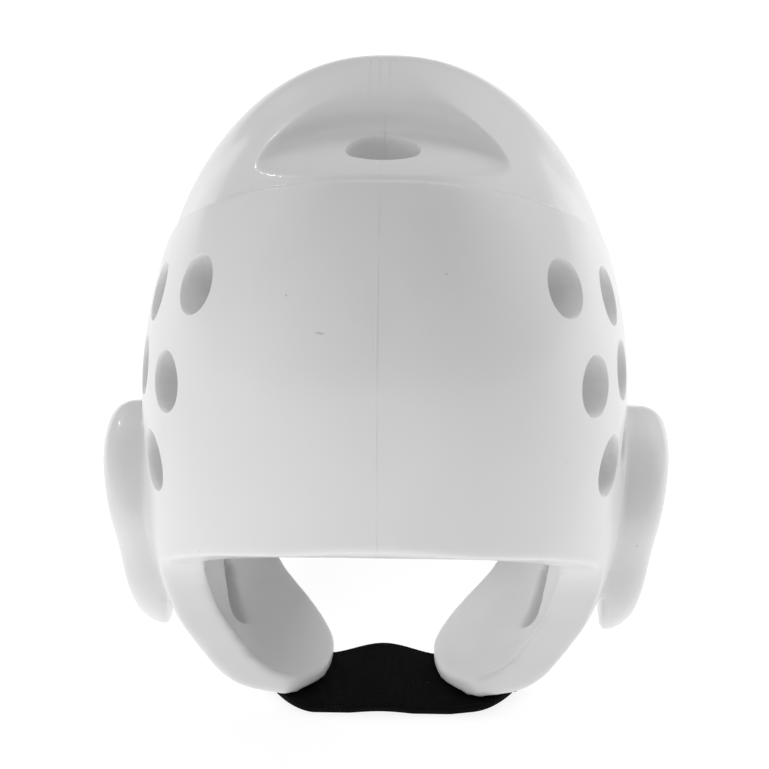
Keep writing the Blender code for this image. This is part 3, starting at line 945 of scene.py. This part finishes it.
def white_vinyl():
    material, tree, finish = new_material("white_vinyl", Coat_Weight=0.35, Coat_Roughness=0.09)
    foam = use_effect(tree, dipped_foam())
    marks = use_effect(tree, handling_marks())
    line = use_effect(tree, mould_lines())["Line"]
    dark = weighted_sum(tree, (marks["Dark"], 1.0), (line, 0.06), (foam["Mottling"], 0.12))
    feed(tree, finish.inputs["Base Color"], mixed_colour(tree, dark, CLEAN_WHITE, MARKED_WHITE))
    roughness = weighted_sum(tree, (marks["Dull"], 0.12), (1.0, 0.30))
    feed(tree, finish.inputs["Roughness"], roughness)
    height = weighted_sum(tree, (foam["Height"], 1.0), (line, SEAM_RELIEF))
    relief = add_node(tree, "ShaderNodeBump", Height=height, Distance=1.0)
    for socket in ("Normal", "Coat Normal"):
        feed(tree, finish.inputs[socket], relief.outputs["Normal"])
    return material


def black_elastic():
    material, tree, finish = new_material("black_elastic", Roughness=0.85, Specular_IOR_Level=0.12)
    webbing = use_effect(tree, woven_ribs())
    feed(tree, finish.inputs["Base Color"], mixed_colour(tree, webbing["Lint"], STRAP_BLACK, LINT_GREY))
    relief = add_node(tree, "ShaderNodeBump", Height=webbing["Height"], Distance=1.0)
    feed(tree, finish.inputs["Normal"], relief.outputs["Normal"])
    return material


# Studio


def make_floor():
    mesh = bmesh.new()
    bmesh.ops.create_grid(mesh, x_segments=1, y_segments=1, size=FLOOR_REACH)
    floor = new_object("pale_floor", mesh)
    material = new_material(
        "lit_white_table",
        Roughness=0.9,
        Base_Color=(0.25, 0.25, 0.25, 1),
        Emission_Color=(1, 1, 1, 1),
        Emission_Strength=0.86,
    )[0]
    floor.data.materials.append(material)


def softbox(name, place, aim, size, power, mirrored):
    """A soft rectangular lamp, out of the camera's sight. A mirrored one shows in glossy surfaces."""
    light = bpy.data.lights.new(name, "AREA")
    light.shape = "RECTANGLE"
    light.size, light.size_y = size
    light.energy = power
    box = bpy.data.objects.new(name, light)
    box.location = place
    box.rotation_euler = (Vector(aim) - Vector(place)).to_track_quat("-Z", "Y").to_euler()
    box.visible_camera = False
    box.visible_glossy = mirrored
    bpy.context.scene.collection.objects.link(box)


def make_camera():
    camera = bpy.data.objects.new("camera", bpy.data.cameras.new("camera"))
    bpy.context.scene.collection.objects.link(camera)
    flat = cos(CAMERA_ELEVATION)
    forward = Vector((-sin(CAMERA_TURN) * flat, cos(CAMERA_TURN) * flat, -sin(CAMERA_ELEVATION)))
    camera.location = CAMERA_TARGET - forward * CAMERA_DISTANCE
    camera.rotation_euler = (pi / 2 - CAMERA_ELEVATION, 0, CAMERA_TURN)
    camera.data.sensor_width = SENSOR_WIDTH
    camera.data.lens = FOCAL_PIXELS * SENSOR_WIDTH / FRAME_PIXELS
    middle = (FRAME_PIXELS - 1) / 2
    camera.data.shift_x = (middle - CENTRE_PIXEL[0]) / FRAME_PIXELS
    camera.data.shift_y = (CENTRE_PIXEL[1] - middle) / FRAME_PIXELS
    bpy.context.scene.camera = camera


def around(azimuth, elevation, distance):
    """A place round the headgear: azimuth 0 is before its face and 90 at +X, in degrees."""
    flat = distance * cos(radians(elevation))
    turn = radians(azimuth)
    return Vector((flat * sin(turn), -flat * cos(turn), distance * sin(radians(elevation)))) + CAMERA_TARGET


def make_lights():
    world = bpy.data.worlds.new("studio")
    bpy.context.scene.world = world
    world.use_nodes = True
    sky = world.node_tree.nodes["Background"].inputs
    sky["Color"].default_value = (1, 1, 1, 1)
    sky["Strength"].default_value = SKY_STRENGTH
    for lamp in LAMPS:
        place = around(lamp.azimuth, lamp.elevation, lamp.distance)
        softbox(lamp.name, place, CAMERA_TARGET, (lamp.width, lamp.height), lamp.power, lamp.mirrored)
    softbox("inside_lamp", INSIDE_LAMP_PLACE, INSIDE_LAMP_AIM, INSIDE_LAMP_SIZE, INSIDE_LAMP_POWER, False)


def main():
    bpy.context.scene.view_settings.view_transform = "Standard"
    make_camera()
    make_lights()
    make_floor()
    shell = make_shell()
    shell.data.materials.append(white_vinyl())
    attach(shell, "root")
    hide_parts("shell")
    strap = make_strap()
    strap.data.materials.append(black_elastic())
    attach(strap, "root")
    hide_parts("chin_strap")


main()
